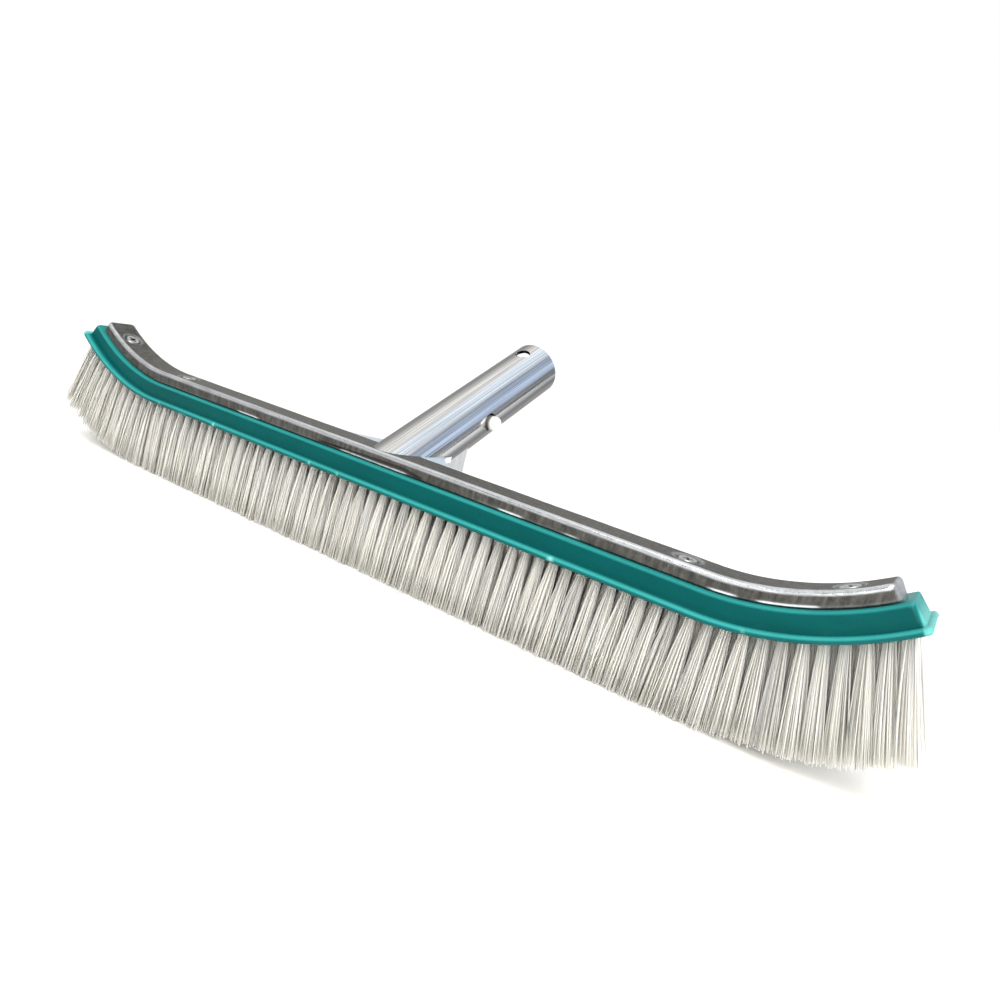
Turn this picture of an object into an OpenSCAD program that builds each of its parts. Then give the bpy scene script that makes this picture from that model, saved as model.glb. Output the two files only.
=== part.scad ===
// Pool wall brush: a moulded tuft block under a cast aluminium back, with a
// slanted aluminium socket tube and a sprung two-button clip inside it.
// X runs along the brush, Y towards the socket tube, Z up.
// The origin is under the middle of the head, on the plane of the bristle tips.

/* [Head curve] */
// Half length of the straight middle of the head
straight_half = 158; // [154:1:164]
// Radius of the curved ends, at the lower face of the block
end_radius = 119; // [116:1:130]
// Angle through which each end curves up, in degrees
end_angle = 37.5; // [36:0.1:39]

/* [Tuft block] */
// Width of the flange
flange_w = 31; // [30:0.5:40]
// Thickness of the flange, which has a full round edge
flange_t = 2.6; // [2:0.1:3.5]
// Width of the block above the flange
block_w = 23.6; // [23.2:0.2:27]
// Height of the block, flange included
block_h = 10.7; // [10:0.1:14]
// How far the flange stands out past each end of the block
end_step = 1.6; // [1:0.1:4]

/* [Cast back] */
// Width of the cast back
back_w = 18.4; // [17:0.2:22]
// Height of the cast back above its seat
back_h = 6.2; // [5:0.1:8]
// Height of the narrow seat that leaves a dark gap along both edges
seat_h = 0.5; // [0.3:0.1:1]
// How far each end of the block stands out past the cast back
back_inset = 6.4; // [4:0.2:12]

/* [Bristles] */
// Spacing of the tufts along a row
pitch = 6.46; // [6.3:0.01:6.6]
// Spacing of the rows
row_gap = 5.8; // [5.4:0.1:6]
// Bristle length below the flange
trim = 39.4; // [36:0.1:50]
// Extra bristle length at the two curved ends
end_extra = 3.6; // [0:0.1:5]
// Share of the head's slope that the tufts of the curved ends follow
fan = 0.6; // [0.5:0.05:1]
// Radius of a tuft's root inside its hole
root_r = 1.6; // [1.2:0.1:1.6]
// Radius of a tuft's tip
tip_r = 2.9; // [2.2:0.1:3]
// How far an outer row leans outwards at its tips
splay = 4.6; // [2:0.1:4.8]

/* [Socket tube] */
// Outer radius of the tube
tube_r = 14.3; // [13:0.1:15]
// Wall of the tube
tube_wall = 1.6; // [1.2:0.1:2]
// Rise of the tube, in degrees
tube_rise = 25.7; // [22:0.1:30]
// Where the tube's axis crosses the top of the back, behind its middle
tube_y = 25.7; // [24:0.1:28]
// Length of the tube's axis above that point
tube_len = 105; // [90:1:140]
// Distance of the cross hole from the open end
cross_in = 12.4; // [10:0.1:20]
// Radius of the cross hole
cross_r = 4.2; // [3:0.1:5]

/* [Clip] */
// Distance of the two buttons along the tube's axis
button_w = 40; // [38:0.5:46]
// Radius of a button
button_r = 3.7; // [3:0.1:4]
// Radius of a button's hole in the tube
button_hole_r = 4.6; // [4.4:0.1:5]
// How far a button stands out of the tube
button_out = 6; // [4:0.5:6]

/* [Hidden] */
$fn = 64;
eps = 0.01;

zf = trim;                         // lower face of the block
L0 = straight_half;
R = end_radius;
S = L0 + R * end_angle * PI / 180; // half length along the curve
seat_z = block_h;                  // seat of the cast back
back_z = block_h + seat_h;         // lower edge of the cast back's side walls
top_z = back_z + back_h;           // top of the cast back
back_s = S - back_inset;
tufts = floor(2 * (S - 6.3) / pitch) + 1; // in an odd row; an even row has one fewer
hole_r = 2.3;                      // tuft hole
hole_d = 6;
root_n = 4.4;                      // top of a tuft inside its hole
screw_s = [-212, -148, 148, 212];  // screws along the curve

bore_r = tube_r - tube_wall;
leg_x = 10;                        // clip leg, from the tube's axis
leg_t = 1.4;
leg_w = 8;
pivot_w = 8;
knuckle_r = 0.8;

// Position and slope on the head curve at the arc length s
function cb(s) = sign(s) * max(abs(s) - L0, 0) / R * 180 / PI;
function cx(s) = sign(s) * min(abs(s), L0) + R * sin(cb(s));
function cz(s) = R * (1 - cos(cb(s)));

// Puts a child in the frame of the curve at s: X along the head, Z outwards
module at_s(s) {
    translate([cx(s), 0, zf + cz(s)]) rotate([0, -cb(s), 0]) children();
}

// Puts a child at both ends of the head, s from the middle, facing outwards
module at_ends(s) {
    for (k = [-1, 1]) at_s(k * s) mirror([k < 0 ? 1 : 0, 0, 0]) children();
}

// Sweeps a profile, drawn as (y, height), along the head curve as far as s
module sweep(s) {
    rotate([90, 0, 90]) translate([0, zf, -L0]) linear_extrude(2 * L0) children();
    for (m = [0, 1]) mirror([m, 0, 0])
        translate([L0, 0, zf + R]) rotate([90, 0, 0]) rotate([0, 0, -90])
            rotate_extrude(angle = cb(s), $fn = 180) translate([R, 0]) rotate(90) children();
}

// Takes the sharp vertical corners off an end: x is the end, w the full width
module corner_cut(x, w, r, z0, z1) {
    for (m = [0, 1]) mirror([0, m, 0]) translate([x - r, w / 2 - r, z0]) difference() {
        cube([r + 5, r + 5, z1 - z0]);
        translate([0, 0, -1]) cylinder(r = r, h = z1 - z0 + 2);
    }
}

// Takes a flat bevel off the vertical corners of an end
module corner_bevel(x, w, c, z0, z1) {
    for (m = [0, 1]) mirror([0, m, 0]) translate([0, 0, z0]) linear_extrude(z1 - z0)
        polygon([[x - c - 1, w / 2 + 1], [x + 1, w / 2 - c - 1], [x + 1, w / 2 + 1]]);
}

module flange_profile() {
    e = flange_t / 2;
    translate([-flange_w / 2 + e, 0]) square([flange_w - 2 * e, flange_t]);
    for (k = [-1, 1]) translate([k * (flange_w / 2 - e), e]) circle(r = e);
}

module block_profile() {
    e = flange_t / 2;
    t = 1.6;
    translate([-block_w / 2, e]) square([block_w, block_h - t - e]);
    translate([-block_w / 2 + t, e]) square([block_w - 2 * t, block_h - e]);
    for (k = [-1, 1]) translate([k * (block_w / 2 - t), block_h - t]) circle(r = t);
}

module back_profile() {
    t = 1.8;
    translate([-back_w / 2 + 1.5, seat_z]) square([back_w - 3, 1]);
    translate([-back_w / 2, back_z]) square([back_w, back_h - t]);
    translate([-back_w / 2 + t, back_z]) square([back_w - 2 * t, back_h]);
    for (k = [-1, 1]) translate([k * (back_w / 2 - t), top_z - t]) circle(r = t);
}

// Arc length of tuft i in row k, and the row's place across the block
function row_n(k) = k % 2 == 1 ? tufts : tufts - 1;
function tuft_s(k, i) = (i - (row_n(k) - 1) / 2) * pitch;
function row_y(k) = (k - 2.5) * row_gap;
function row_lean(k) = atan(splay * row_y(k) / row_y(4) / trim);

// Bristle length at the arc length s, longer towards the ends
function ease(t) = let (u = min(max(t, 0), 1)) u * u * (3 - 2 * u);
function trim_at(s) = trim + end_extra * ease((abs(s) - 172) / 40);

// Puts a child on the axis of the tuft's hole at s in row k, Z into the block
module at_tuft(k, s) {
    at_s(s) translate([0, row_y(k), 0]) rotate([0, (1 - fan) * cb(s), 0]) children();
}

module tuft_holes() {
    for (k = [1:4]) for (i = [0:row_n(k) - 1]) at_tuft(k, tuft_s(k, i))
        translate([0, 0, -2]) cylinder(r = hole_r, h = hole_d + 2, $fn = 16);
}

module brush_block() {
    color("#0f8a80") difference() {
        union() {
            difference() {
                sweep(S) flange_profile();
                at_ends(S) corner_cut(0, flange_w, 2.4, -1, flange_t + 1);
            }
            // the block stops short of the flange
            difference() {
                sweep(S - end_step) block_profile();
                at_ends(S) corner_bevel(-end_step, block_w, 1.5, 0, block_h + 1);
            }
        }
        tuft_holes();
        for (s = screw_s) at_s(s) translate([0, 0, 7]) cylinder(r = 1.8, h = 6, $fn = 24);
    }
}

module back_casting() {
    color("#a9a69e") difference() {
        sweep(back_s) back_profile();
        for (s = screw_s) at_s(s) {
            translate([0, 0, seat_z - 1]) cylinder(r = 2.2, h = 9, $fn = 24);
            translate([0, 0, top_z - 1.7]) cylinder(r1 = 4.5, r2 = 5.6, h = 1.71, $fn = 48);
        }
        // long shallow hollow low in the front wall, where the socket joins
        translate([17, -back_w / 2, zf + back_z + 2.6 - 62]) rotate([90, 0, 0])
            cylinder(r = 62, h = 2.4, center = true, $fn = 180);
        at_ends(back_s) corner_cut(0, back_w, 3.6, seat_z - 1, top_z + 1);
    }
}

// Puts a child in the frame of the socket tube: Y along its axis, X across
module at_tube(w = 0) {
    translate([0, tube_y, zf + top_z]) rotate([tube_rise, 0, 0]) translate([0, w, 0]) children();
}
module along_tube(r, w0, w1) {
    at_tube(w0) rotate([-90, 0, 0]) cylinder(r = r, h = w1 - w0, $fn = 96);
}

module socket_tube() {
    color("#c9ced3") difference() {
        along_tube(tube_r, -45, tube_len);
        along_tube(bore_r, -50, tube_len + 5);
        // seat on the top of the back, then down behind it
        translate([-20, -40, zf + top_z - 60]) cube([40, 40 + back_w / 2, 60]);
        translate([-20, back_w / 2 - eps, zf + back_z - 60]) cube([40, 60, 60]);
        at_tube(tube_len - cross_in) translate([0, 0, -20]) cylinder(r = cross_r, h = 40, $fn = 48);
        at_tube(button_w + 0.3) translate([-20, 0, 0]) rotate([0, 90, 0])
            cylinder(r = button_hole_r, h = 40, $fn = 48);
    }
}

module socket_saddle() {
    w = 13;
    y1 = 50.7;
    color("#9d9b95") difference() {
        union() {
            translate([-w, back_w / 2, zf + back_z]) cube([2 * w, y1 - back_w / 2, 14]);
            translate([-w, block_w / 2 + 0.8, zf + 5]) cube([2 * w, y1 - block_w / 2 - 0.8, back_z - 5 + eps]);
        }
        along_tube(tube_r + 0.03, -60, 60);
        at_tube() translate([-20, -80, 0]) cube([40, 160, 40]);
        translate([-9, 17, zf + 4]) cube([18, 28, 4.2]);
        for (m = [0, 1]) mirror([m, 0, 0]) translate([w - 4, y1 - 4, zf]) difference() {
            cube([6, 6, 40]);
            translate([0, 0, -1]) cylinder(r = 4, h = 42, $fn = 48);
        }
    }
}

module gusset() {
    difference() {
        translate([0, 0, zf + top_z - 3.2]) linear_extrude(3) difference() {
            translate([13, back_w / 2]) square([23, 23.4]);
            translate([40, 34.7]) circle(r = 25.8, $fn = 128);
        }
        along_tube(tube_r + 0.03, -60, 60);
    }
}
module gusset_right() { color("#c4c6c8") gusset(); }
module gusset_left() { color("#c4c6c8") mirror([1, 0, 0]) gusset(); }

module back_screws() {
    color("#b8b8b4") for (s = screw_s) at_s(s) difference() {
        union() {
            translate([0, 0, 7.2]) cylinder(r = 1.75, h = top_z - 1.7 - 7.2 + eps, $fn = 24);
            translate([0, 0, top_z - 1.7]) cylinder(r1 = 4.1, r2 = 3.4, h = 1.5, $fn = 48);
        }
        for (a = [0, 90]) rotate([0, 0, 20 + a]) translate([-2.2, -0.45, top_z - 1.3]) cube([4.4, 0.9, 3]);
    }
}

module tuft_row(k) {
    lean = row_lean(k);
    color("#e4e2d8") for (i = [0:row_n(k) - 1])
        let (s = tuft_s(k, i), len = (trim_at(s) - tip_r * sin(abs(lean))) / cos(lean))
            at_tuft(k, s) rotate([lean, 0, 0]) translate([0, 0, -len])
                cylinder(r1 = tip_r, r2 = root_r, h = len + root_n, $fn = 16);
}
module tuft_row_1() { tuft_row(1); }
module tuft_row_2() { tuft_row(2); }
module tuft_row_3() { tuft_row(3); }
module tuft_row_4() { tuft_row(4); }

// One flat wire staple pins each folded tuft in the bottom of its hole
module staple_row(k) {
    color("#c8b070") for (i = [0:row_n(k) - 1]) at_tuft(k, tuft_s(k, i))
        translate([-2.1, -0.25, root_n + 0.1]) cube([4.2, 0.5, 1.4]);
}
module staple_row_1() { staple_row(1); }
module staple_row_2() { staple_row(2); }
module staple_row_3() { staple_row(3); }
module staple_row_4() { staple_row(4); }

module clip_bend() {
    color("#b9bcc0") at_tube(pivot_w - knuckle_r - 0.15) translate([0, 0, -leg_w / 2]) difference() {
        cylinder(r = leg_x + leg_t / 2, h = leg_w, $fn = 96);
        translate([0, 0, -1]) cylinder(r = leg_x - leg_t / 2, h = leg_w + 2, $fn = 96);
        translate([-15, 0, -1]) cube([30, 15, leg_w + 2]);
    }
}

module clip_leg() {
    at_tube(pivot_w) difference() {
        union() {
            translate([leg_x, 0, -leg_w / 2]) cylinder(r = knuckle_r, h = leg_w, $fn = 32);
            translate([leg_x - leg_t / 2, 0, -leg_w / 2]) cube([leg_t, button_w - pivot_w + 4.6, leg_w]);
        }
        translate([0, button_w - pivot_w, 0]) rotate([0, 90, 0]) cylinder(r = 1.55, h = 20, $fn = 24);
    }
}
module clip_leg_right() { color("#b9bcc0") clip_leg(); }
module clip_leg_left() { color("#b9bcc0") mirror([1, 0, 0]) clip_leg(); }

module clip_button() {
    x0 = leg_x + leg_t / 2;
    x1 = tube_r + button_out;
    dome = 3.1;
    dr = (button_r * button_r + dome * dome) / (2 * dome);
    at_tube(button_w) rotate([0, 90, 0]) rotate_extrude($fn = 64) {
        translate([0, x0 - leg_t - 0.8]) square([2.4, 0.8]);
        translate([0, x0 - leg_t - 0.4]) square([1.5, leg_t + 0.8]);
        translate([0, x0]) square([button_r, x1 - dome - x0]);
        intersection() {
            translate([0, x1 - dome - eps]) square([button_r, dome + 1]);
            translate([0, x1 - dr]) circle(r = dr, $fn = 96);
        }
    }
}
module clip_button_right() { color("#f4f4f2") clip_button(); }
module clip_button_left() { color("#f4f4f2") mirror([1, 0, 0]) clip_button(); }

brush_block();
back_casting();
socket_saddle();
gusset_left();
gusset_right();
socket_tube();
back_screws();
tuft_row_1();
tuft_row_2();
tuft_row_3();
tuft_row_4();
staple_row_1();
staple_row_2();
staple_row_3();
staple_row_4();
clip_bend();
clip_leg_left();
clip_leg_right();
clip_button_left();
clip_button_right();
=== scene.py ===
import math

import bpy
import numpy as np
from mathutils import Matrix, Vector, geometry


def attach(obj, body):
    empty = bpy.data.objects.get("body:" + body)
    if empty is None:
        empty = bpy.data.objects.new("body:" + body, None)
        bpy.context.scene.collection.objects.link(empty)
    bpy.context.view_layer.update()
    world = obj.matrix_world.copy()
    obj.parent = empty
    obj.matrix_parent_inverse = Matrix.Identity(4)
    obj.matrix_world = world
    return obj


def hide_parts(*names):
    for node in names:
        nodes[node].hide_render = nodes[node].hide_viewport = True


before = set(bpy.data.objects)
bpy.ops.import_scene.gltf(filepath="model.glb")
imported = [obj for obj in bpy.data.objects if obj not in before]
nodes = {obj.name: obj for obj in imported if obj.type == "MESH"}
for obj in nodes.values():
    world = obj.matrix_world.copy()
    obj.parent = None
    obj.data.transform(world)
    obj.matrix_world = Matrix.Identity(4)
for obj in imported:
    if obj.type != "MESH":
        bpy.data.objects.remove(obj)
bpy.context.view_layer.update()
MM = 0.001
rng = np.random.default_rng(20240611)

# ---------------------------------------------------------------- dimensions
# Millimetres, the same values as the CAD model.
L0, R, ZF = 158.0, 119.0, 39.4
S = L0 + R * math.radians(37.5)
FAN, END_EXTRA = 0.6, 3.6
FLANGE_W, FLANGE_T, BLOCK_W, BLOCK_H, END_STEP = 31.0, 2.6, 23.6, 10.7, 1.6
SEAT_Z = BLOCK_H
BACK_Z, TOP_Z, BACK_W = BLOCK_H + 0.5, BLOCK_H + 0.5 + 6.2, 18.4
BACK_S = S - 6.4
PITCH, TUFTS, ROW_GAP, TRIM = 6.46, 72, 5.8, 39.4
SCREW_S = (-212.0, -148.0, 148.0, 212.0)
TUBE_R, TUBE_Y, TUBE_LEN = 14.3, 25.7, 105.0
RISE = math.radians(25.7)
NICKS = ((-105.6, 1.0, 0.55, -1), (-34.4, 0.8, 0.45, -1), (-15.9, 0.8, 0.40, -1), (100.6, 1.3, 0.70, -1),
         (-152.0, 1.1, 0.30, -1), (178.0, 1.0, 0.30, -1), (64.0, 1.4, 0.5, 1), (-98.0, 1.0, 0.5, 1),
         (140.0, 0.8, 0.35, 1), (-20.0, 1.2, 0.4, 1))



def on_curve(s, y, n):
    """Point at arc length s, across y, outwards n from the block's lower face."""
    s, y, n = np.broadcast_arrays(np.asarray(s, float), np.asarray(y, float), np.asarray(n, float))
    b = np.sign(s) * np.maximum(np.abs(s) - L0, 0) / R
    x = np.sign(s) * np.minimum(np.abs(s), L0) + (R - n) * np.sin(b)
    z = ZF + R - (R - n) * np.cos(b)
    return np.stack([x, y, z], -1) * MM


def root_at(s):
    """The curve's point on the lower face at s, and its slope."""
    b = (1 if s > 0 else -1) * max(abs(s) - L0, 0) / R
    x = (1 if s > 0 else -1) * min(abs(s), L0) + R * math.sin(b)
    return np.array([x, 0.0, ZF + R * (1 - math.cos(b))]), b


def axes_at(b):
    return np.array([math.cos(b), 0, math.sin(b)]), np.array([-math.sin(b), 0, math.cos(b)])


def vnoise(p, seed, scale):
    """Smooth value noise in 2 or 3 dimensions, from -1 to 1, the same every run."""
    p = np.asarray(p, float) / scale
    i = np.floor(p).astype(np.int64)
    f = p - i
    f = f * f * (3 - 2 * f)
    dims = p.shape[-1]
    out = np.zeros(p.shape[:-1])
    for c in range(2 ** dims):
        w = np.ones(p.shape[:-1])
        h = np.full(p.shape[:-1], seed * 1013904223 & 0xFFFFFFFF, dtype=np.uint64)
        for d in range(dims):
            k = (c >> d) & 1
            w = w * (f[..., d] if k else 1 - f[..., d])
            h = (h ^ ((i[..., d] + k).astype(np.uint64) * np.uint64(2654435761))) & np.uint64(0xFFFFFFFF)
            h = (h * np.uint64(2246822519) + np.uint64(374761393)) & np.uint64(0xFFFFFFFF)
            h = h ^ (h >> np.uint64(13))
        out += w * (h.astype(float) / 0xFFFFFFFF * 2 - 1)
    return out


def smooth(a, b, x):
    t = np.clip((x - a) / (b - a), 0, 1)
    return t * t * (3 - 2 * t)


def make_mesh(name, verts, faces, mat, smooth_shade=True, sharp=None):
    me = bpy.data.meshes.new(name)
    me.from_pydata([tuple(v) for v in verts], [], faces)
    me.validate()
    me.update()
    if smooth_shade:
        me.polygons.foreach_set("use_smooth", [True] * len(me.polygons))
    if sharp is not None:
        me.set_sharp_from_angle(angle=math.radians(sharp))
    ob = bpy.data.objects.new(name, me)
    bpy.context.scene.collection.objects.link(ob)
    me.materials.append(mat)
    return ob


def quads_fast(name, verts, quads, mat, tris=None):
    """Large meshes from arrays."""
    me = bpy.data.meshes.new(name)
    nq = len(quads)
    nt = 0 if tris is None else len(tris)
    me.vertices.add(len(verts))
    me.vertices.foreach_set("co", np.asarray(verts, np.float32).ravel())
    loops = np.asarray(quads, np.int32).ravel()
    starts = np.arange(nq, dtype=np.int32) * 4
    if nt:
        loops = np.concatenate([loops, np.asarray(tris, np.int32).ravel()])
        starts = np.concatenate([starts, nq * 4 + np.arange(nt, dtype=np.int32) * 3])
    me.loops.add(len(loops))
    me.loops.foreach_set("vertex_index", loops)
    me.polygons.add(nq + nt)
    me.polygons.foreach_set("loop_start", starts)
    me.update(calc_edges=True)
    me.polygons.foreach_set("use_smooth", np.ones(nq + nt, bool))
    ob = bpy.data.objects.new(name, me)
    bpy.context.scene.collection.objects.link(ob)
    me.materials.append(mat)
    return ob


# ----------------------------------------------------------------- materials
class Mat:
    """A small helper round one node material."""

    def __init__(self, name):
        self.m = bpy.data.materials.new(name)
        self.m.use_nodes = True
        self.t = self.m.node_tree
        self.t.nodes.clear()
        self.out = self.add("ShaderNodeOutputMaterial")
        self.p = self.add("ShaderNodeBsdfPrincipled")
        self.link(self.p.outputs[0], self.out.inputs[0])
        self.co = self.add("ShaderNodeTexCoord").outputs["Object"]

    def add(self, kind, **kw):
        n = self.t.nodes.new(kind)
        for k, v in kw.items():
            setattr(n, k, v)
        return n

    def link(self, a, b):
        self.t.links.new(a, b)

    def mapping(self, scale, rot=(0, 0, 0), loc=(0, 0, 0), src=None):
        n = self.add("ShaderNodeMapping")
        n.inputs["Scale"].default_value = scale
        n.inputs["Rotation"].default_value = rot
        n.inputs["Location"].default_value = loc
        self.link(src or self.co, n.inputs[0])
        return n.outputs[0]

    def noise(self, scale, detail=3, rough=0.55, src=None, dist=0.0):
        n = self.add("ShaderNodeTexNoise")
        n.inputs["Scale"].default_value = scale
        n.inputs["Detail"].default_value = detail
        n.inputs["Roughness"].default_value = rough
        n.inputs["Distortion"].default_value = dist
        self.link(src or self.co, n.inputs["Vector"])
        return n.outputs["Fac"]

    def ramp(self, src, stops):
        n = self.add("ShaderNodeValToRGB")
        e = n.color_ramp.elements
        while len(e) < len(stops):
            e.new(0.5)
        for el, (pos, col) in zip(e, stops):
            el.position = pos
            el.color = (*col, 1) if len(col) == 3 else col
        self.link(src, n.inputs[0])
        return n.outputs[0]

    def span(self, src, lo, hi, a=0.0, b=1.0):
        n = self.add("ShaderNodeMapRange")
        n.inputs["From Min"].default_value = a
        n.inputs["From Max"].default_value = b
        n.inputs["To Min"].default_value = lo
        n.inputs["To Max"].default_value = hi
        self.link(src, n.inputs["Value"])
        return n.outputs[0]

    def math(self, op, a, b=None, clamp=False):
        n = self.add("ShaderNodeMath", operation=op)
        n.use_clamp = clamp
        for i, v in enumerate((a, b)):
            if v is None:
                continue
            if isinstance(v, (int, float)):
                n.inputs[i].default_value = v
            else:
                self.link(v, n.inputs[i])
        return n.outputs[0]

    def mix(self, fac, a, b, mode="MIX"):
        n = self.add("ShaderNodeMix", data_type="RGBA", blend_type=mode)
        for sock, v in ((n.inputs[0], fac), (n.inputs[6], a), (n.inputs[7], b)):
            if isinstance(v, (int, float)):
                sock.default_value = v
            elif isinstance(v, tuple):
                sock.default_value = (*v, 1)
            else:
                self.link(v, sock)
        return n.outputs[2]

    def bump(self, height, strength, distance, normal=None):
        n = self.add("ShaderNodeBump")
        n.inputs["Strength"].default_value = strength
        n.inputs["Distance"].default_value = distance
        self.link(height, n.inputs["Height"])
        if normal is not None:
            self.link(normal, n.inputs["Normal"])
        return n.outputs[0]

    def edges(self):
        """Convex edges of the mesh, from 0 to 1."""
        g = self.add("ShaderNodeNewGeometry")
        return self.span(g.outputs["Pointiness"], 0, 1, 0.51, 0.58)

    def set(self, **kw):
        for k, v in kw.items():
            s = self.p.inputs[k.replace("_", " ")]
            if isinstance(v, (int, float)):
                s.default_value = v
            elif isinstance(v, tuple):
                s.default_value = v if len(v) == 3 and s.type == "VECTOR" else (*v, 1)
            else:
                self.link(v, s)
        return self.m


def teal_plastic():
    m = Mat("teal_plastic")
    big = m.noise(28, 3, 0.6)
    flow = m.noise(1, 4, 0.6, src=m.mapping((12, 160, 160)))
    fine = m.noise(1500, 2, 0.6)
    base = m.mix(m.span(big, 0.1, 0.9, 0.3, 0.7), (0.0002, 0.063, 0.062), (0.0004, 0.076, 0.075))
    base = m.mix(m.span(flow, 0, 0.35, 0.45, 0.75), base, (0.0008, 0.100, 0.096))
    # painted highlight: paler teal painted on the bead and on the upper edge, where light catches them
    painted_highlight = m.add("ShaderNodeAttribute", attribute_name="painted_highlight").outputs["Fac"]
    painted_highlight = m.math("MULTIPLY", painted_highlight, m.span(flow, 0.75, 1.0, 0.3, 0.7))
    base = m.mix(painted_highlight, base, (0.030, 0.285, 0.272))
    # painted highlight: convex edges painted lighter
    base = m.mix(m.math("MULTIPLY", m.edges(), 0.40), base, (0.10, 0.46, 0.47))
    # paler stress marks at the nicks, plus painted light on the body's end faces
    stress_mark_and_end_light = m.add("ShaderNodeAttribute", attribute_name="stress_mark_and_end_light").outputs["Fac"]
    base = m.mix(m.span(stress_mark_and_end_light, 0, 0.6, 0.2, 0.9), base, (0.30, 0.74, 0.68))
    # fine dust and water marks
    dust = m.span(m.noise(190, 5, 0.75), 0, 0.020, 0.60, 0.76)
    base = m.mix(dust, base, (0.42, 0.50, 0.46))
    rough = m.math("ADD", m.span(m.noise(420, 4, 0.7), 0.24, 0.40, 0.3, 0.7), m.math("MULTIPLY", dust, 1.5))
    scr = m.noise(1, 2, 0.5, src=m.mapping((45, 1100, 1100), rot=(0, 0.06, 0.03)))
    n = m.bump(scr, 0.10, 0.0003)
    n = m.bump(fine, 0.14, 0.00012, n)
    return m.set(Base_Color=base, Roughness=rough, Normal=n, IOR=1.49, Specular_IOR_Level=0.05)


def cast_aluminium(name="cast_aluminium", dark=(0.030, 0.028, 0.025), light=(0.086, 0.081, 0.073), polish_and_highlight=True):
    """Sand cast: dull and grainy on the walls, polished on the rounded edges, where a painted highlight is laid as
    well.
    """
    m = Mat(name)
    grain = m.noise(1700, 3, 0.7)
    mid = m.noise(230, 5, 0.7)
    big = m.noise(38, 3, 0.6)
    vert = m.noise(1, 4, 0.7, src=m.mapping((520, 520, 90)))
    base = m.mix(m.span(mid, 0, 1, 0.35, 0.68), dark, light)
    base = m.mix(m.span(big, 0, 0.40, 0.42, 0.7), base, tuple(c * 1.15 for c in light))
    base = m.mix(m.span(vert, 0, 0.75, 0.48, 0.68), base, tuple(c * 0.5 for c in dark))
    base = m.mix(m.span(vert, 0.5, 0, 0.32, 0.46), base, tuple(c * 1.5 for c in light))
    pits = m.span(m.noise(900, 4, 0.8), 1, 0, 0.30, 0.42)
    base = m.mix(m.math("MULTIPLY", pits, 0.6), base, (0.04, 0.036, 0.032))
    # polished metal that also carries a painted highlight: the marked band, or the convex edges, painted pale and
    # turned metallic
    if polish_and_highlight:
        e = m.add("ShaderNodeAttribute", attribute_name="polish_and_highlight").outputs["Fac"]
        patchy = m.span(m.noise(1, 4, 0.65, src=m.mapping((60, 1300, 1300))), 0.55, 1.15, 0.36, 0.60)
        e = m.math("MULTIPLY", e, patchy, True)
    else:
        # painted highlight: convex edges painted pale and metallic
        e = m.math("MULTIPLY", m.edges(), 0.6, True)
    base = m.mix(e, base, (0.66, 0.685, 0.72))
    if polish_and_highlight:
        # painted highlight: a thin near-white, non-metallic line along the lower lip
        painted_lip_highlight = m.add("ShaderNodeAttribute", attribute_name="lip").outputs["Fac"]
        base = m.mix(painted_lip_highlight, base, (0.86, 0.87, 0.88))
    if polish_and_highlight:
        # painted shade: the hollow in the front wall painted near black
        painted_recess_shade = m.add("ShaderNodeAttribute", attribute_name="painted_recess_shade").outputs["Fac"]
        base = m.mix(m.math("MULTIPLY", painted_recess_shade, 0.8), base, (0.018, 0.017, 0.016))
    rough = m.math("SUBTRACT", m.span(mid, 0.46, 0.62, 0.3, 0.75), m.math("MULTIPLY", e, 0.30))
    metal = m.span(e, 0.30, 1.0)
    if polish_and_highlight:
        metal = m.math("SUBTRACT", metal, painted_lip_highlight, True)
    n = m.bump(mid, 0.45, 0.0003)
    n = m.bump(grain, 0.55, 0.00014, n)
    return m.set(Base_Color=base, Metallic=metal, Roughness=rough, Normal=n, Specular_IOR_Level=0.35)


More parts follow.
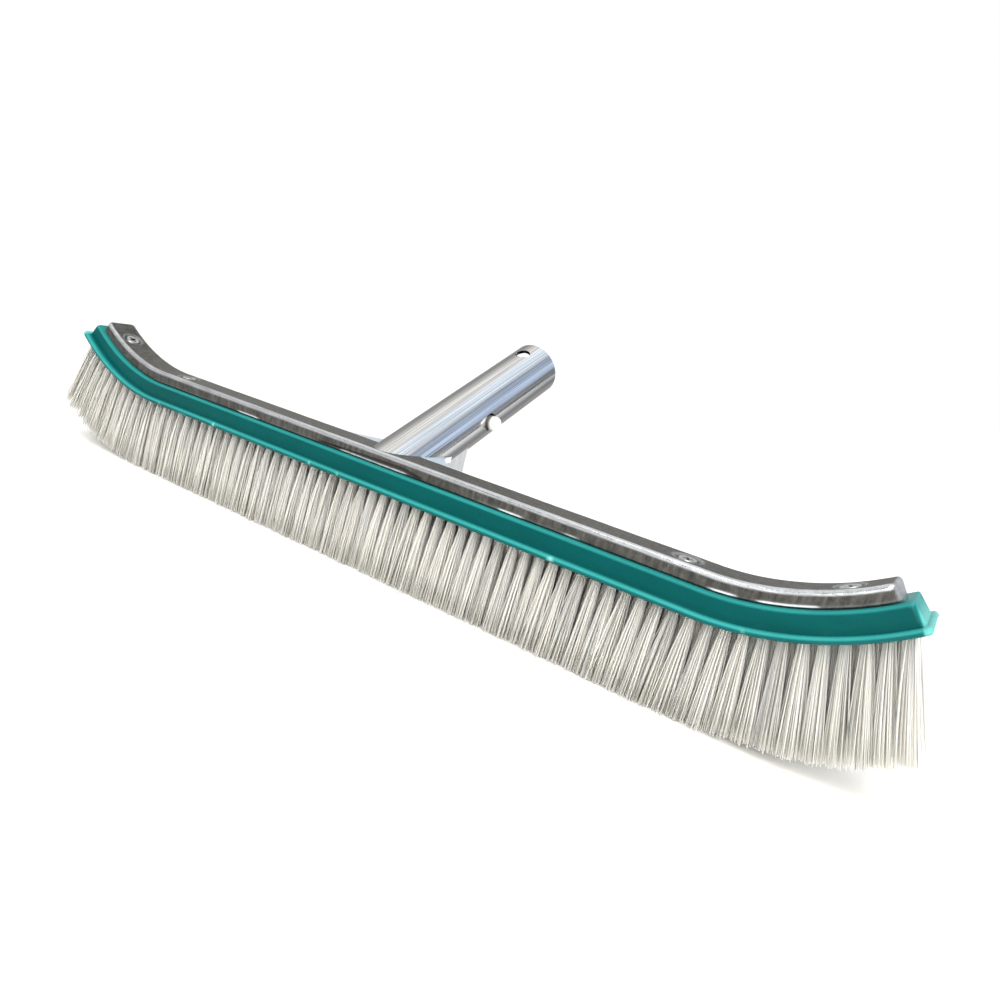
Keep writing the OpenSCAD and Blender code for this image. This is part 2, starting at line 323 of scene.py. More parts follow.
def tube_aluminium():
    """Drawn tube: long streaks that run along the slanted axis; painted shade and reflection darken it underneath and
    on the far side, and it is a little rougher underneath.
    """
    m = Mat("tube_aluminium")
    # object coordinates turned so that Y runs along the tube and Z across its top
    ax = m.mapping((1, 1, 1), rot=(-RISE, 0, 0))
    fine = m.noise(1, 3, 0.7, src=m.mapping((1300, 7, 1300), src=ax))
    wide = m.noise(1, 2, 0.55, src=m.mapping((420, 5, 420), src=ax))
    spots = m.noise(420, 4, 0.7)
    base = m.mix(m.span(fine, 0, 1, 0.35, 0.65), (0.50, 0.50, 0.505), (0.98, 0.985, 0.99))
    base = m.mix(m.span(wide, 0, 0.45, 0.48, 0.70), base, (0.60, 0.61, 0.64))
    base = m.mix(m.span(spots, 0, 0.22, 0.60, 0.74), base, (0.55, 0.55, 0.54))
    # height above the tube's axis
    sep = m.add("ShaderNodeSeparateXYZ")
    m.link(ax, sep.inputs[0])
    axis_z = -TUBE_Y * MM * math.sin(RISE) + (ZF + TOP_Z) * MM * math.cos(RISE)
    # painted shade: the lower side of the tube painted a dark taupe
    under = m.span(sep.outputs[2], 1.0, 0.0, axis_z - 0.0030, axis_z + 0.0030)
    painted_underside_shade = m.math("MULTIPLY", under, m.span(wide, 0.70, 0.98, 0.3, 0.7))
    base = m.mix(painted_underside_shade, base, (0.27, 0.25, 0.22))
    # painted shade: the far side of the tube painted darker
    painted_far_side_shade = m.span(sep.outputs[0], 0.0, 0.90, 0.0012, -0.0034)
    base = m.mix(m.math("MULTIPLY", painted_far_side_shade, m.span(fine, 0.7, 1.0, 0.3, 0.7)), base, (0.25, 0.245, 0.235))
    # painted reflection: a dark blue-grey band painted below the axis
    painted_dark_band = m.math("MULTIPLY", m.span(sep.outputs[2], 0.0, 1.0, axis_z + 0.0006, axis_z - 0.0014),
                  m.span(sep.outputs[2], 0.0, 1.0, axis_z - 0.0050, axis_z - 0.0028))
    base = m.mix(m.math("MULTIPLY", painted_dark_band, 0.85), base, (0.15, 0.165, 0.185))
    # painted shade: the inside of the bore painted near black
    up = m.math("SUBTRACT", sep.outputs[2], axis_z)
    rad = m.math("SQRT", m.math("ADD", m.math("MULTIPLY", up, up), m.math("MULTIPLY", sep.outputs[0], sep.outputs[0])))
    painted_bore_shade = m.span(rad, 1.0, 0.0, 0.0131, 0.0137)
    base = m.mix(painted_bore_shade, base, (0.045, 0.043, 0.040))
    rough = m.math("ADD", m.span(wide, 0.13, 0.24, 0.3, 0.7), m.span(spots, 0.0, 0.08, 0.5, 0.75))
    rough = m.math("ADD", rough, m.math("MULTIPLY", painted_underside_shade, 0.12))
    n = m.bump(fine, 0.22, 0.00012)
    n = m.bump(wide, 0.22, 0.0004, n)
    return m.set(Base_Color=base, Metallic=1.0, Roughness=rough, Normal=n, Anisotropic=0.45,
                 Specular_Tint=(0.50, 0.50, 0.52))


def sheet_metal(name, a, b, rough=(0.28, 0.42), scale=1.0, metal=1.0, top=None):
    m = Mat(name)
    fine = m.noise(1, 3, 0.6, src=m.mapping((70 * scale, 1300 * scale, 1300 * scale)))
    mid = m.noise(260 * scale, 4, 0.65)
    base = m.mix(m.span(fine, 0, 1, 0.3, 0.7), a, b)
    base = m.mix(m.span(mid, 0, 0.4, 0.5, 0.75), base, tuple(c * 0.7 for c in a))
    # painted highlight: convex edges painted lighter
    base = m.mix(m.math("MULTIPLY", m.edges(), 0.5), base, (0.92, 0.92, 0.91))
    if top:
        # painted shade: upward faces painted a darker, bluer tone, by which way they face
        sep = m.add("ShaderNodeSeparateXYZ")
        m.link(m.add("ShaderNodeNewGeometry").outputs["Normal"], sep.inputs[0])
        base = m.mix(m.span(sep.outputs[2], 0, 1, 0.45, 0.85), base, top)
    n = m.bump(fine, 0.25, 0.0001)
    n = m.bump(mid, 0.2, 0.0002, n)
    return m.set(Base_Color=base, Metallic=metal, Roughness=m.span(mid, rough[0], rough[1], 0.3, 0.7), Normal=n)


def nylon_white():
    m = Mat("white_nylon")
    a = m.noise(300, 4, 0.6)
    b = m.noise(60, 2, 0.5)
    base = m.mix(m.span(a, 0, 1, 0.35, 0.7), (0.86, 0.86, 0.84), (0.93, 0.93, 0.92))
    base = m.mix(m.span(b, 0, 0.3, 0.5, 0.8), base, (0.80, 0.79, 0.74))
    sep = m.add("ShaderNodeSeparateXYZ")
    m.link(m.co, sep.inputs[0])
    # painted shade: the button painted dark where it sits in the tube's hole
    painted_recess_shade = m.span(m.math("ABSOLUTE", sep.outputs[0]), 1.0, 0.0, 0.0150, 0.0166)
    base = m.mix(painted_recess_shade, base, (0.10, 0.095, 0.085))
    n = m.bump(a, 0.15, 0.0001)
    return m.set(Base_Color=base, Roughness=m.span(a, 0.30, 0.45, 0.3, 0.7), Normal=n, IOR=1.52,
                 Subsurface_Weight=0.25, Subsurface_Radius=(0.003, 0.0028, 0.0025), Subsurface_Scale=0.4)


def bristle_nylon():
    m = Mat("bristle_nylon")
    att = m.add("ShaderNodeAttribute", attribute_name="tone_and_painted_light")
    tone_and_painted_light = att.outputs["Fac"]
    patch = m.noise(55, 3, 0.6)
    streak = m.noise(1, 3, 0.6, src=m.mapping((900, 900, 60)))
    # low tones are a dark green: painted shade at the roots
    base = m.ramp(tone_and_painted_light, [(0.0, (0.34, 0.40, 0.31)), (0.22, (0.69, 0.685, 0.57)), (0.45, (0.81, 0.775, 0.675)), (1.0, (0.90, 0.88, 0.80))])
    base = m.mix(m.span(patch, 0, 0.25, 0.45, 0.75), base, (0.78, 0.74, 0.63))
    base = m.mix(m.span(streak, 0, 0.12, 0.5, 0.8), base, (0.92, 0.90, 0.84))
    n = m.bump(streak, 0.12, 0.00008)
    return m.set(Base_Color=base, Roughness=m.span(streak, 0.42, 0.6, 0.3, 0.7), Normal=n, IOR=1.53,
                 Subsurface_Weight=0.8, Subsurface_Radius=(0.006, 0.0055, 0.0045), Subsurface_Scale=0.8,
                 Specular_IOR_Level=0.2)


TEAL = teal_plastic()
CAST = cast_aluminium()
SADDLE = cast_aluminium("cast_saddle", (0.20, 0.19, 0.175), (0.36, 0.345, 0.32), False)
TUBE = tube_aluminium()
# the last colour is painted shade on the gussets' upward faces
WEB = sheet_metal("web_aluminium", (0.74, 0.80, 0.86), (0.84, 0.88, 0.92), (0.50, 0.66), 1.0, 0.35, (0.46, 0.53, 0.61))
SCREW = sheet_metal("screw_steel", (0.13, 0.13, 0.135), (0.27, 0.275, 0.285), (0.30, 0.48), 2.0)
SPRING = sheet_metal("spring_steel", (0.46, 0.46, 0.47), (0.64, 0.64, 0.65), (0.25, 0.38), 1.4)
STAPLE = sheet_metal("staple_wire", (0.58, 0.48, 0.28), (0.74, 0.64, 0.42), (0.3, 0.45), 2.5)
BUTTON = nylon_white()
NYLON = bristle_nylon()

for name, mat in {"socket_saddle": SADDLE, "gusset_left": WEB, "gusset_right": WEB, "socket_tube": TUBE,
                  "back_screws": SCREW, "clip_bend": SPRING, "clip_leg_left": SPRING, "clip_leg_right": SPRING,
                  "clip_button_left": BUTTON, "clip_button_right": BUTTON, "staple_row_1": STAPLE,
                  "staple_row_2": STAPLE, "staple_row_3": STAPLE, "staple_row_4": STAPLE}.items():
    ob = nodes[name]
    ob.data.materials.clear()
    ob.data.materials.append(mat)


# --------------------------------------------------------------- tuft layout
def row_n(k):
    return TUFTS if k % 2 else TUFTS - 1


def tuft_s(k, i):
    return (i - (row_n(k) - 1) / 2) * PITCH


def row_y(k):
    return (k - 2.5) * ROW_GAP


# -------------------------------------------------------------- tuft block
def stations(lo, hi, step, extra=()):
    s = np.linspace(lo, hi, int(round((hi - lo) / step)) + 1)
    return np.unique(np.round(np.concatenate([s, np.asarray(extra, float)]), 5))


def tuft_block():
    e = FLANGE_T / 2
    end = S
    # stations bunch up towards the ends, where the bead turns the corner
    d = np.concatenate([2.4 * (1 - np.cos(np.linspace(0, math.pi / 2, 14)[1:])), [2.9, 3.3, 4.2, 5.4]])
    inner = end - d
    mid = stations(-inner.min() + 1.0, inner.min() - 1.0, 1.15)
    ss = np.unique(np.round(np.concatenate([-end + d * 1.0, -np.array([end]), mid, inner, [end]]), 5))
    extra = np.concatenate([np.linspace(n[0] - 2 * n[1], n[0] + 2 * n[1], 9) for n in NICKS])
    ss = np.unique(np.round(np.concatenate([ss, extra]), 5))
    ss = ss[np.concatenate([[True], np.diff(ss) > 0.02])]
    rows = []
    body_end = S - END_STEP
    for s in ss:
        dist = end - abs(s)
        # plan width of the flange: its corners are rounded
        r = 2.4
        if dist < r:
            half = FLANGE_W / 2 - r + math.sqrt(max(r * r - (r - dist) ** 2, 0))
        else:
            half = FLANGE_W / 2
        # the full round edge runs round the end as well
        te = e * math.sqrt(max(1 - (1 - min(dist / e, 1)) ** 2, 0.0)) if dist < e else e
        te = max(te, 0.06)
        half = max(half - (e - te) * 0.55, 1.0)
        # bottom middle outwards on one side, then up and over the body
        a = np.linspace(-math.pi / 2, math.pi / 2, 13)
        fy = half - te + te * np.cos(a)
        fz = e + te * np.sin(a)
        db = body_end - abs(s)
        rb = 2.2
        if db > 0:
            bh = BLOCK_W / 2 - (rb - math.sqrt(max(rb * rb - (rb - db) ** 2, 0)) if db < rb else 0)
            top = BLOCK_H - (0.9 - math.sqrt(max(0.81 - (0.9 - db) ** 2, 0)) if db < 0.9 else 0)
        else:
            bh, top = BLOCK_W / 2 - rb, None
        if top is None:
            by = np.linspace(bh, bh * 0.92, 3 + 8 + 9)
            bz = np.full(len(by), e + te)
            fill = np.linspace(bh * 0.92, 0, 7)[1:]
            fillz = np.full(6, e + te)
        else:
            t = 1.6
            foot_y = np.array([bh + 0.55, bh + 0.16, bh])
            foot_z = np.array([e + te, e + te + 0.16, e + te + 0.55])
            wall_z = np.linspace(e + te + 0.9, top - t, 8)
            wall_y = bh - 0.012 * (wall_z - FLANGE_T)
            b = np.linspace(0, math.pi / 2, 10)[1:]
            ey = wall_y[-1] - t + t * np.cos(b)
            ez = top - t + t * np.sin(b)
            by = np.concatenate([foot_y, wall_y, ey])
            bz = np.concatenate([foot_z, wall_z, ez])
            fill = np.linspace(ey[-1], 0, 7)[1:]
            fillz = np.full(6, top)
        oy = np.concatenate([fy, by, fill])
        oz = np.concatenate([fz, bz, fillz])
        side = np.stack([np.full(len(oy), s), oy, oz], -1)
        other = side[::-1][1:].copy()
        other[:, 1] *= -1
        rows.append(np.concatenate([side, other]))
    A = np.array(rows)                       # stations, points, (s, y, n)
    # moulded surface: slight waviness, and knocks in the bead
    wav = vnoise(np.stack([A[..., 0], A[..., 2] * 2], -1), 5, 26.0) * 0.07
    A[..., 1] += np.sign(A[..., 1]) * wav * (A[..., 2] > 0.3)
    for s0, w, dep, sgn in NICKS:
        g = np.exp(-((A[..., 0] - s0) / w) ** 2) * smooth(FLANGE_W / 2 - 2.2, FLANGE_W / 2, A[..., 1] * sgn)
        A[..., 1] -= sgn * dep * g
        A[..., 2] -= 0.35 * dep * g * np.sign(A[..., 2] - e)
    # sides slope in a little at both ends of the body
    lean = np.clip(A[..., 2] - FLANGE_T, 0, None) * math.tan(math.radians(7))
    near = smooth(body_end - 3.0, body_end, np.abs(A[..., 0])) * (np.abs(A[..., 0]) <= body_end)
    A[..., 0] -= np.sign(A[..., 0]) * lean * near
    ns, npt = A.shape[:2]
    # the first and last points of the outline lie on the lower face's edge, which is left open for the holes
    verts = on_curve(A[..., 0], A[..., 1], A[..., 2]).reshape(-1, 3)
    faces = []
    for i in range(ns - 1):
        for j in range(npt - 1):
            a = i * npt + j
            faces.append((a, a + 1, a + npt + 1, a + npt))
    # end caps
    faces.append(tuple(range(npt - 1, -1, -1)))
    faces.append(tuple((ns - 1) * npt + j for j in range(npt)))
    # lower face with its tuft holes
    edge = [i * npt for i in range(ns)] + [(ns - 1 - i) * npt + npt - 1 for i in range(ns)]
    flat = [(A.reshape(-1, 3)[k, 0], A.reshape(-1, 3)[k, 1]) for k in edge]
    pts = [Vector(p) for p in flat]
    loop = list(range(len(edge)))
    circles = []
    n_c = 18
    ca = np.linspace(0, 2 * math.pi, n_c, endpoint=False)
    for k in (1, 2, 3, 4):
        for i in range(row_n(k)):
            s0, y0 = tuft_s(k, i), row_y(k)
            base = len(pts)
            pts += [Vector((s0 + 2.3 * math.cos(t), y0 + 2.3 * math.sin(t))) for t in ca]
            circles.append((base, s0, y0))
    face_in = [loop] + [list(range(b, b + n_c)) for b, _, _ in circles]
    vo, _, fo, ov, _, of = geometry.delaunay_2d_cdt(pts, [], face_in, 1, 1e-5, True)
    # map the triangulation back onto the block's vertices
    new_index = {}
    for k, src in enumerate(ov):
        pick = next((q for q in src if q < len(edge)), None)
        if pick is not None:
            new_index[k] = edge[pick]
    add = []
    base_v = len(verts)
    circ_of = {}
    for k in range(len(vo)):
        if k in new_index:
            continue
        new_index[k] = base_v + len(add)
        add.append((vo[k][0], vo[k][1], A[0, 0, 2] * 0))
        for q in ov[k]:
            if q >= len(edge):
                circ_of[q] = new_index[k]
    add = np.array(add)
    n_low = 0.0
    verts = np.concatenate([verts, on_curve(add[:, 0], add[:, 1], n_low)])
    for f, src in zip(fo, of):
        if src and all(q == 0 for q in src):
            faces.append(tuple(new_index[k] for k in reversed(f)))
    # hole walls and floors
    extra_v = []
    base_v = len(verts)
    for b, s0, y0 in circles:
        ring = [circ_of[b + q] for q in range(n_c)]
        low = base_v + len(extra_v)
        o, bb = root_at(s0)
        ex, ez = axes_at(bb)
        th = (1 - FAN) * bb
        for t in ca:
            lx = 6.0 * math.sin(th) + 2.3 * math.cos(t) * math.cos(th)
            lz = 6.0 * math.cos(th) - 2.3 * math.cos(t) * math.sin(th)
            q = o + lx * ex + lz * ez
            extra_v.append((q[0] * MM, (y0 + 2.3 * math.sin(t)) * MM, q[2] * MM))
        for q in range(n_c):
            r1 = (q + 1) % n_c
            faces.append((ring[q], ring[r1], low + r1, low + q))
        faces.append(tuple(low + q for q in range(n_c - 1, -1, -1)))
    verts = np.concatenate([verts, np.array(extra_v)])
    ob = make_mesh("tuft_block", verts, faces, TEAL, sharp=50)
    fix_normals(ob)
    # paler stress marks where the bead is knocked
    co = np.zeros(len(ob.data.vertices) * 3)
    ob.data.vertices.foreach_get("co", co)
    co = co.reshape(-1, 3) / MM
    stress_mark_and_end_light = np.zeros(len(co))
    for s0, w, dep, sgn in NICKS:
        c = on_curve(s0, sgn * (FLANGE_W / 2 - 0.4), FLANGE_T / 2) / MM
        q = np.linalg.norm((co - c) / np.array([w * 1.2, 1.6, 1.4]), axis=1)
        stress_mark_and_end_light = np.maximum(stress_mark_and_end_light, np.exp(-q ** 2) * min(1.0, dep * 1.6))
    xa, za = np.abs(co[:, 0]), co[:, 2] - ZF
    s_end = np.where(xa > L0, L0 + R * np.arctan2(xa - L0, R - za), xa)
    # painted light: the body's end faces painted paler too
    stress_mark_and_end_light = np.maximum(stress_mark_and_end_light, 0.56 * smooth(S - END_STEP - 1.3, S - END_STEP - 0.7, s_end))
    at = ob.data.attributes.new("stress_mark_and_end_light", "FLOAT", "POINT")
    at.data.foreach_set("value", stress_mark_and_end_light.astype(np.float32))
    # painted highlight: the bead, the upper edges and both ends painted paler, where light catches them
    x, z = co[:, 0], co[:, 2] - ZF
    out = np.abs(x) > L0
    rr_ = np.hypot(np.abs(x) - L0, R - z)
    n_ = np.where(out, R - rr_, z)
    s_ = np.where(out, L0 + R * np.arctan2(np.abs(x) - L0, R - z), np.abs(x))
    ay = np.abs(co[:, 1])
    bead = smooth(BLOCK_W / 2 + 0.3, BLOCK_W / 2 + 1.6, ay) * smooth(1.25, 2.0, n_)
    top = smooth(BLOCK_H - 1.45, BLOCK_H - 0.45, n_) * 0.75
    tip = smooth(S - END_STEP - 1.6, S - END_STEP - 0.9, s_) * smooth(0.3, 0.8, n_) * 0.85
    painted_highlight = np.maximum(np.maximum(bead, top), tip)
    at = ob.data.attributes.new("painted_highlight", "FLOAT", "POINT")
    at.data.foreach_set("value", painted_highlight.astype(np.float32))
    return ob


def fix_normals(ob):
    import bmesh
    bm = bmesh.new()
    bm.from_mesh(ob.data)
    bmesh.ops.remove_doubles(bm, verts=bm.verts, dist=1e-7)
    bmesh.ops.recalc_face_normals(bm, faces=bm.faces)
    bm.to_mesh(ob.data)
    bm.free()


block = tuft_block()
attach(block, "head")
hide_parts("brush_block")


# ---------------------------------------------------------------- cast back
def cast_back():
    r = 3.6
    d = np.concatenate([r * (1 - np.cos(np.linspace(0, math.pi / 2, 12)[1:])), [4.4]])
    ends = BACK_S - d
    core = stations(-ends.min() + 0.6, ends.min() - 0.6, 0.8)
    ss = np.unique(np.round(np.concatenate([-ends, core, ends, [-BACK_S, BACK_S]]), 5))
    t = 1.6
    w = BACK_W / 2
    rows = []
    for s in ss:
        dist = BACK_S - abs(s)
        half = w - (r - math.sqrt(max(r * r - (r - dist) ** 2, 0)) if dist < r else 0)
        te = 1.5
        drop = (te - math.sqrt(max(te * te - (te - dist) ** 2, 0))) if dist < te else 0
        pad = max(half - 2.6, 0.5)
        py = np.array([0, pad * 0.5, pad, pad])
        pz = np.array([SEAT_Z, SEAT_Z, SEAT_Z, BACK_Z])
        low_y = np.array([half - 0.5, half - 0.12, half])
        low_z = np.array([BACK_Z, BACK_Z + 0.10, BACK_Z + 0.45])
        wall_z = np.linspace(BACK_Z + 0.75, TOP_Z - t - drop * 0.3, 13)
        wall_y = half - 0.035 * (wall_z - BACK_Z)
        b = np.linspace(0, math.pi / 2, 12)[1:]
        ey = wall_y[-1] - t + t * np.cos(b)
        ez = TOP_Z - t + t * np.sin(b)
        top_y = np.linspace(ey[-1], 0, 16)[1:]
        oy = np.concatenate([py, low_y, wall_y, ey, top_y])
        oz = np.concatenate([pz, low_z, wall_z, ez, np.full(15, TOP_Z)])
        oz = np.where(oz > TOP_Z - t, oz - drop * (oz - TOP_Z + t) / t, oz)
        side = np.stack([np.full(len(oy), s), oy, oz], -1)
        other = side[::-1][1:-1].copy()
        other[:, 1] *= -1
        rows.append(np.concatenate([side, other]))
    A = np.array(rows)
    s, y, n = A[..., 0], A[..., 1].copy(), A[..., 2].copy()
    wall = smooth(w - 1.6, w - 0.3, np.abs(y)) * (n > BACK_Z - 0.01)
    # uneven casting: long waves, and finer lumps on the side walls
    A[..., 1] += np.sign(y) * wall * (vnoise(np.stack([s, n], -1), 3, 17.0) * 0.10
                                      + vnoise(np.stack([s, n], -1), 4, 3.1) * 0.045)
    A[..., 2] += (n > TOP_Z - 1.9) * (vnoise(np.stack([s, y], -1), 7, 21.0) * 0.07
                                      + vnoise(np.stack([s, y], -1), 8, 2.7) * 0.025)
    # a raised lip comes and goes along the lower edge; a thin painted highlight is laid along it further down
    lip = np.clip(vnoise(np.stack([s, s * 0], -1), 12, 31.0) * 0.3, 0.0, 0.10)
    for a0, a1, hgt in ((-95, -79, 0.8), (-22, 19, 1.0), (69, 81, 1.0), (100, 107, 0.5), (161, 172, 1.0), (180, 202, 1.0)):
        lip = np.maximum(lip, hgt * smooth(a0 - 2, a0 + 3, s) * (1 - smooth(a1 - 3, a1 + 2, s)))
    lip = np.where(y < 0, lip, lip[::-1])
    lip_g = np.exp(-((n - BACK_Z - 0.48) / 0.46) ** 2) * wall
    A[..., 1] += np.sign(y) * 0.18 * lip * lip_g
    # long shallow hollow low in the front wall, a lens that ends right of the tube
    u = np.clip((s + 40) / 68.0, 0, 1)
    rise = BACK_Z + 0.75 + 2.5 * np.clip(u, 0, 1) ** 0.7 * np.clip((1 - u) * 5.5, 0, 1) ** 0.75
    hol = smooth(0, 0.55, rise - n) * smooth(BACK_Z + 0.45, BACK_Z + 0.85, n) * ((s > -40) & (s < 28)) * (y < 0) * wall
    A[..., 1] += 1.05 * hol
    # dished seats round the fasteners
    for s0 in SCREW_S:
        q = np.hypot(s - s0, y)
        A[..., 2] -= 1.62 * (1 - smooth(3.9, 5.9, q)) * (n > TOP_Z - 0.6)
    ns, npt = A.shape[:2]
    verts = on_curve(A[..., 0], A[..., 1], A[..., 2]).reshape(-1, 3)
    quads = []
    idx = np.arange(ns * npt).reshape(ns, npt)
    nxt = np.roll(idx, -1, axis=1)
    quads = np.stack([idx[:-1], nxt[:-1], nxt[1:], idx[1:]], -1).reshape(-1, 4)
    faces = [tuple(int(v) for v in q) for q in quads]
    faces.append(tuple(int(v) for v in idx[0][::-1]))
    faces.append(tuple(int(v) for v in idx[-1]))
    ob = make_mesh("back_cast", verts, faces, CAST, sharp=60)
    # polished, with a painted highlight laid there too: rounded top edges, both lips, rims of the dishes
    edge = np.exp(-((np.hypot(np.clip(np.abs(y) - (w - t - 0.25), -9, 9), np.clip(n - (TOP_Z - t - 0.15), -9, 9)) - t) / 0.8) ** 2)
    edge *= smooth(w - t - 0.5, w - t + 0.5, np.abs(y)) * smooth(TOP_Z - t - 0.8, TOP_Z - t + 0.5, n)
    pol = edge
    pol = np.maximum(pol, lip * lip_g * 0.95)
    for s0 in SCREW_S:
        q = np.hypot(s - s0, y)
        pol = np.maximum(pol, 0.35 * np.exp(-((q - 5.6) / 0.7) ** 2) * (n > TOP_Z - 2.5))
    pol = np.maximum(pol, smooth(BACK_S - 2.0, BACK_S - 0.6, np.abs(s)) * 0.55)
    # painted highlight: the band made dimmer towards the left end
    pol = pol * (0.66 + 0.34 * smooth(-130, 30, s))
    at = ob.data.attributes.new("polish_and_highlight", "FLOAT", "POINT")
    at.data.foreach_set("value", pol.ravel().astype(np.float32))
    # painted highlight: the thin bright line along the lip
    at = ob.data.attributes.new("lip", "FLOAT", "POINT")
    lip_highlight_line = np.exp(-((n - BACK_Z - 0.55) / 0.24) ** 2) * wall * (0.55 + 0.45 * np.abs(vnoise(np.stack([s, s * 0], -1), 15, 2.6)))
    at.data.foreach_set("value", (np.clip(lip * 1.3 - 0.3, 0, 1) * lip_highlight_line).astype(np.float32).ravel())
    # painted shade in the hollow
    at = ob.data.attributes.new("painted_recess_shade", "FLOAT", "POINT")
    at.data.foreach_set("value", np.asarray(hol, np.float32).ravel())
    fix_normals(ob)
    return ob


back = cast_back()
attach(back, "head")
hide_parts("back_casting")


# ----------------------------------------------------------------- bristles
def tuft_row(k, per=56):
    """Loose filaments: each is a thin tapered prism with its own lean, curl and length."""
    sides, rings = 4, 6
    n_t = row_n(k)
    y0 = row_y(k)
    verts, tones = [], []
    g = np.random.default_rng(900 + k)
    # painted shade: darker roots, much darker on the outer rows, where the block shades them
    root_shade = 0.10 if k in (1, 4) else 0.65
    tt = np.array([0.0, 0.10, 0.22, 0.42, 0.72, 1.0])
    for i in range(n_t):
        s0 = tuft_s(k, i)
        p0, b = root_at(s0)
        ex, ez = axes_at(FAN * b)
        ey = np.array([0.0, 1, 0])
        p0 = p0 + ey * y0
        trim = TRIM + END_EXTRA * float(smooth(0, 1, (abs(s0) - 172) / 40))
        m = per + int(g.integers(-3, 4))
        # roots fill the hole, like seeds in a sunflower
        q = (np.arange(m) + 0.5) / m
        ang = np.arange(m) * 2.399963 + g.uniform(0, 6.28)
        rad = (1.92 if k in (2, 3) else (1.45 if k == 1 else 1.8)) * np.sqrt(q)
        rx = rad * np.cos(ang) + g.normal(0, 0.05, m)
        ry = rad * np.sin(ang) + g.normal(0, 0.05, m)
        over = np.hypot(rx, ry) / 1.98
        rx /= np.maximum(over, 1)
        ry /= np.maximum(over, 1)
        # tips: spread out from the root, with the row's own splay
        end = smooth(200, 229, abs(s0))
        lean_y = 4.3 * y0 / row_y(4) + g.normal(0, 0.28)
        lean_x = g.normal(0, 0.32) + (-1.6 if s0 > 0 else -1.0) * end
        wide = 1.0 if k in (2, 3) else 1.30
        sx = (1 + g.uniform(0.95, 1.25)) * wide - 1
        sy = (1 + g.uniform(0.80, 1.05)) * wide - 1
        tx = rx * (1 + sx) + lean_x + g.normal(0, 0.42, m)
        ty = ry * (1 + sy) + lean_y + g.normal(0, 0.42, m)
        stray = g.random(m) < 0.04
        tx = tx + stray * g.normal(0, 1.2, m)
        ty = ty + stray * g.normal(0, 1.2, m)
        ln = trim - 0.15 - np.abs(g.normal(0, 0.50, m)) - g.uniform(0, 0.45)
        ln = ln - (g.random(m) < 0.05) * g.uniform(0.4, 2.0, m)
        # a gentle bow, outwards more than inwards
        bow = g.normal(0, 0.30, m) + 0.30
        cx_, cy_ = tx - rx, ty - ry
        rr = 0.245 * g.uniform(0.9, 1.08, m)
        T = tt[None, :]
        blend_ = np.clip((T - 0.06) / 0.94, 0, 1) ** (1.05 if k in (2, 3) else 0.85)
        X = rx[:, None] + cx_[:, None] * blend_ + (bow * cx_ * 0.16)[:, None] * np.sin(T * math.pi)
        Y = ry[:, None] + cy_[:, None] * blend_ + (bow * cy_ * 0.16)[:, None] * np.sin(T * math.pi)
        Z = 3.9 - (ln[:, None] + 3.9) * T
        inside = (Z > -0.2)
        X = np.where(inside, rx[:, None], X)
        Y = np.where(inside, ry[:, None], Y)
        rad_t = rr[:, None] * (1 - 0.25 * smooth(0.8, 1.0, T))
        ph = g.uniform(0, 1.57, m)
        a = ph[:, None] + np.arange(sides) * (2 * math.pi / sides)
        ox = rad_t[:, :, None] * np.cos(a)[:, None, :]
        oy = rad_t[:, :, None] * np.sin(a)[:, None, :]
        PX = X[:, :, None] + ox
        PY = Y[:, :, None] + oy
        PZ = np.broadcast_to(Z[:, :, None], PX.shape)
        P = p0 + PX[..., None] * ex + PY[..., None] * ey + PZ[..., None] * ez
        verts.append(P.reshape(-1, 3))
        # random tone per filament; the inner rows painted lighter, painted light standing in for light through the
        # bristles; the tips a little darker
        tone_and_painted_light = np.clip((0.62 if k in (1, 4) else 0.95) + g.normal(0, 0.06) + g.normal(0, 0.07, m), 0, 1)
        tone_v = tone_and_painted_light[:, None, None] * ((root_shade + (1 - root_shade) * smooth(0.05, 0.36, T) ** 0.7) * (1 - 0.35 * smooth(0.85, 1.0, T)))[:, :, None]
        tones.append(np.broadcast_to(tone_v, PX.shape).ravel())
    V = np.concatenate(verts) * MM
    C = np.concatenate(tones)
    n_f = len(V) // (sides * rings)
    base = np.arange(n_f)[:, None, None] * (sides * rings)
    r_ = np.arange(rings - 1)[None, :, None] * sides
    j = np.arange(sides)[None, None, :]
    j2 = (j + 1) % sides
    Q = np.stack([base + r_ + j, base + r_ + sides + j, base + r_ + sides + j2, base + r_ + j2], -1).reshape(-1, 4)
    cap0 = (np.arange(n_f)[:, None] * (sides * rings) + np.arange(sides)[None, :])
    cap1 = (np.arange(n_f)[:, None] * (sides * rings) + (rings - 1) * sides + np.arange(sides - 1, -1, -1)[None, :])
    Q = np.concatenate([Q, cap0, cap1])
    V[:, 2] = np.maximum(V[:, 2], 0.00005)
    ob = quads_fast("bristles_%d" % k, V, Q, NYLON)
    at = ob.data.attributes.new("tone_and_painted_light", "FLOAT", "POINT")
    at.data.foreach_set("value", C.astype(np.float32))
    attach(ob, "head")
    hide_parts("tuft_row_%d" % k)
    return ob


for k in (1, 2, 3, 4):
    tuft_row(k)


